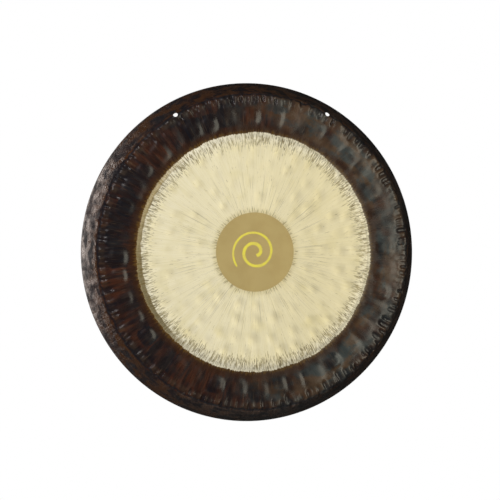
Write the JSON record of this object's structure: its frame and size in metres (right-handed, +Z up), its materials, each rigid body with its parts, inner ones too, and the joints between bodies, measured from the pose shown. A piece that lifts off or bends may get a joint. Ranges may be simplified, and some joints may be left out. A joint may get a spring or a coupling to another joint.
{
  "type": "tam tam gong",
  "caption": "Round hammered bronze tam tam: shallow crowned brushed face with a centre roundel, step, dark ring, turned-back rim and suspension holes near its top.",
  "frame": {"origin": "halfway between the two suspension holes, in the middle of the sheet's thickness, where the gong hangs", "axes": "+Z up, playing face towards -Y, +X on the right of somebody who faces the gong; the gong's own axis is parallel to Y below the origin"},
  "size_m": [0.6095, 0.0572, 0.6095],
  "materials": {
    "hammered_bronze": "hammered; brushed bright inside the step, oxidised dark brown on the ring, rim and back",
    "roundel_lacquer": "matte tan lacquer",
    "mark_paint": "matte yellow brush paint"
  },
  "bodies": {
    "root": {"gong_sheet": "hammered_bronze", "centre_roundel": "roundel_lacquer", "centre_mark": "mark_paint"}
  },
  "joints": []
}
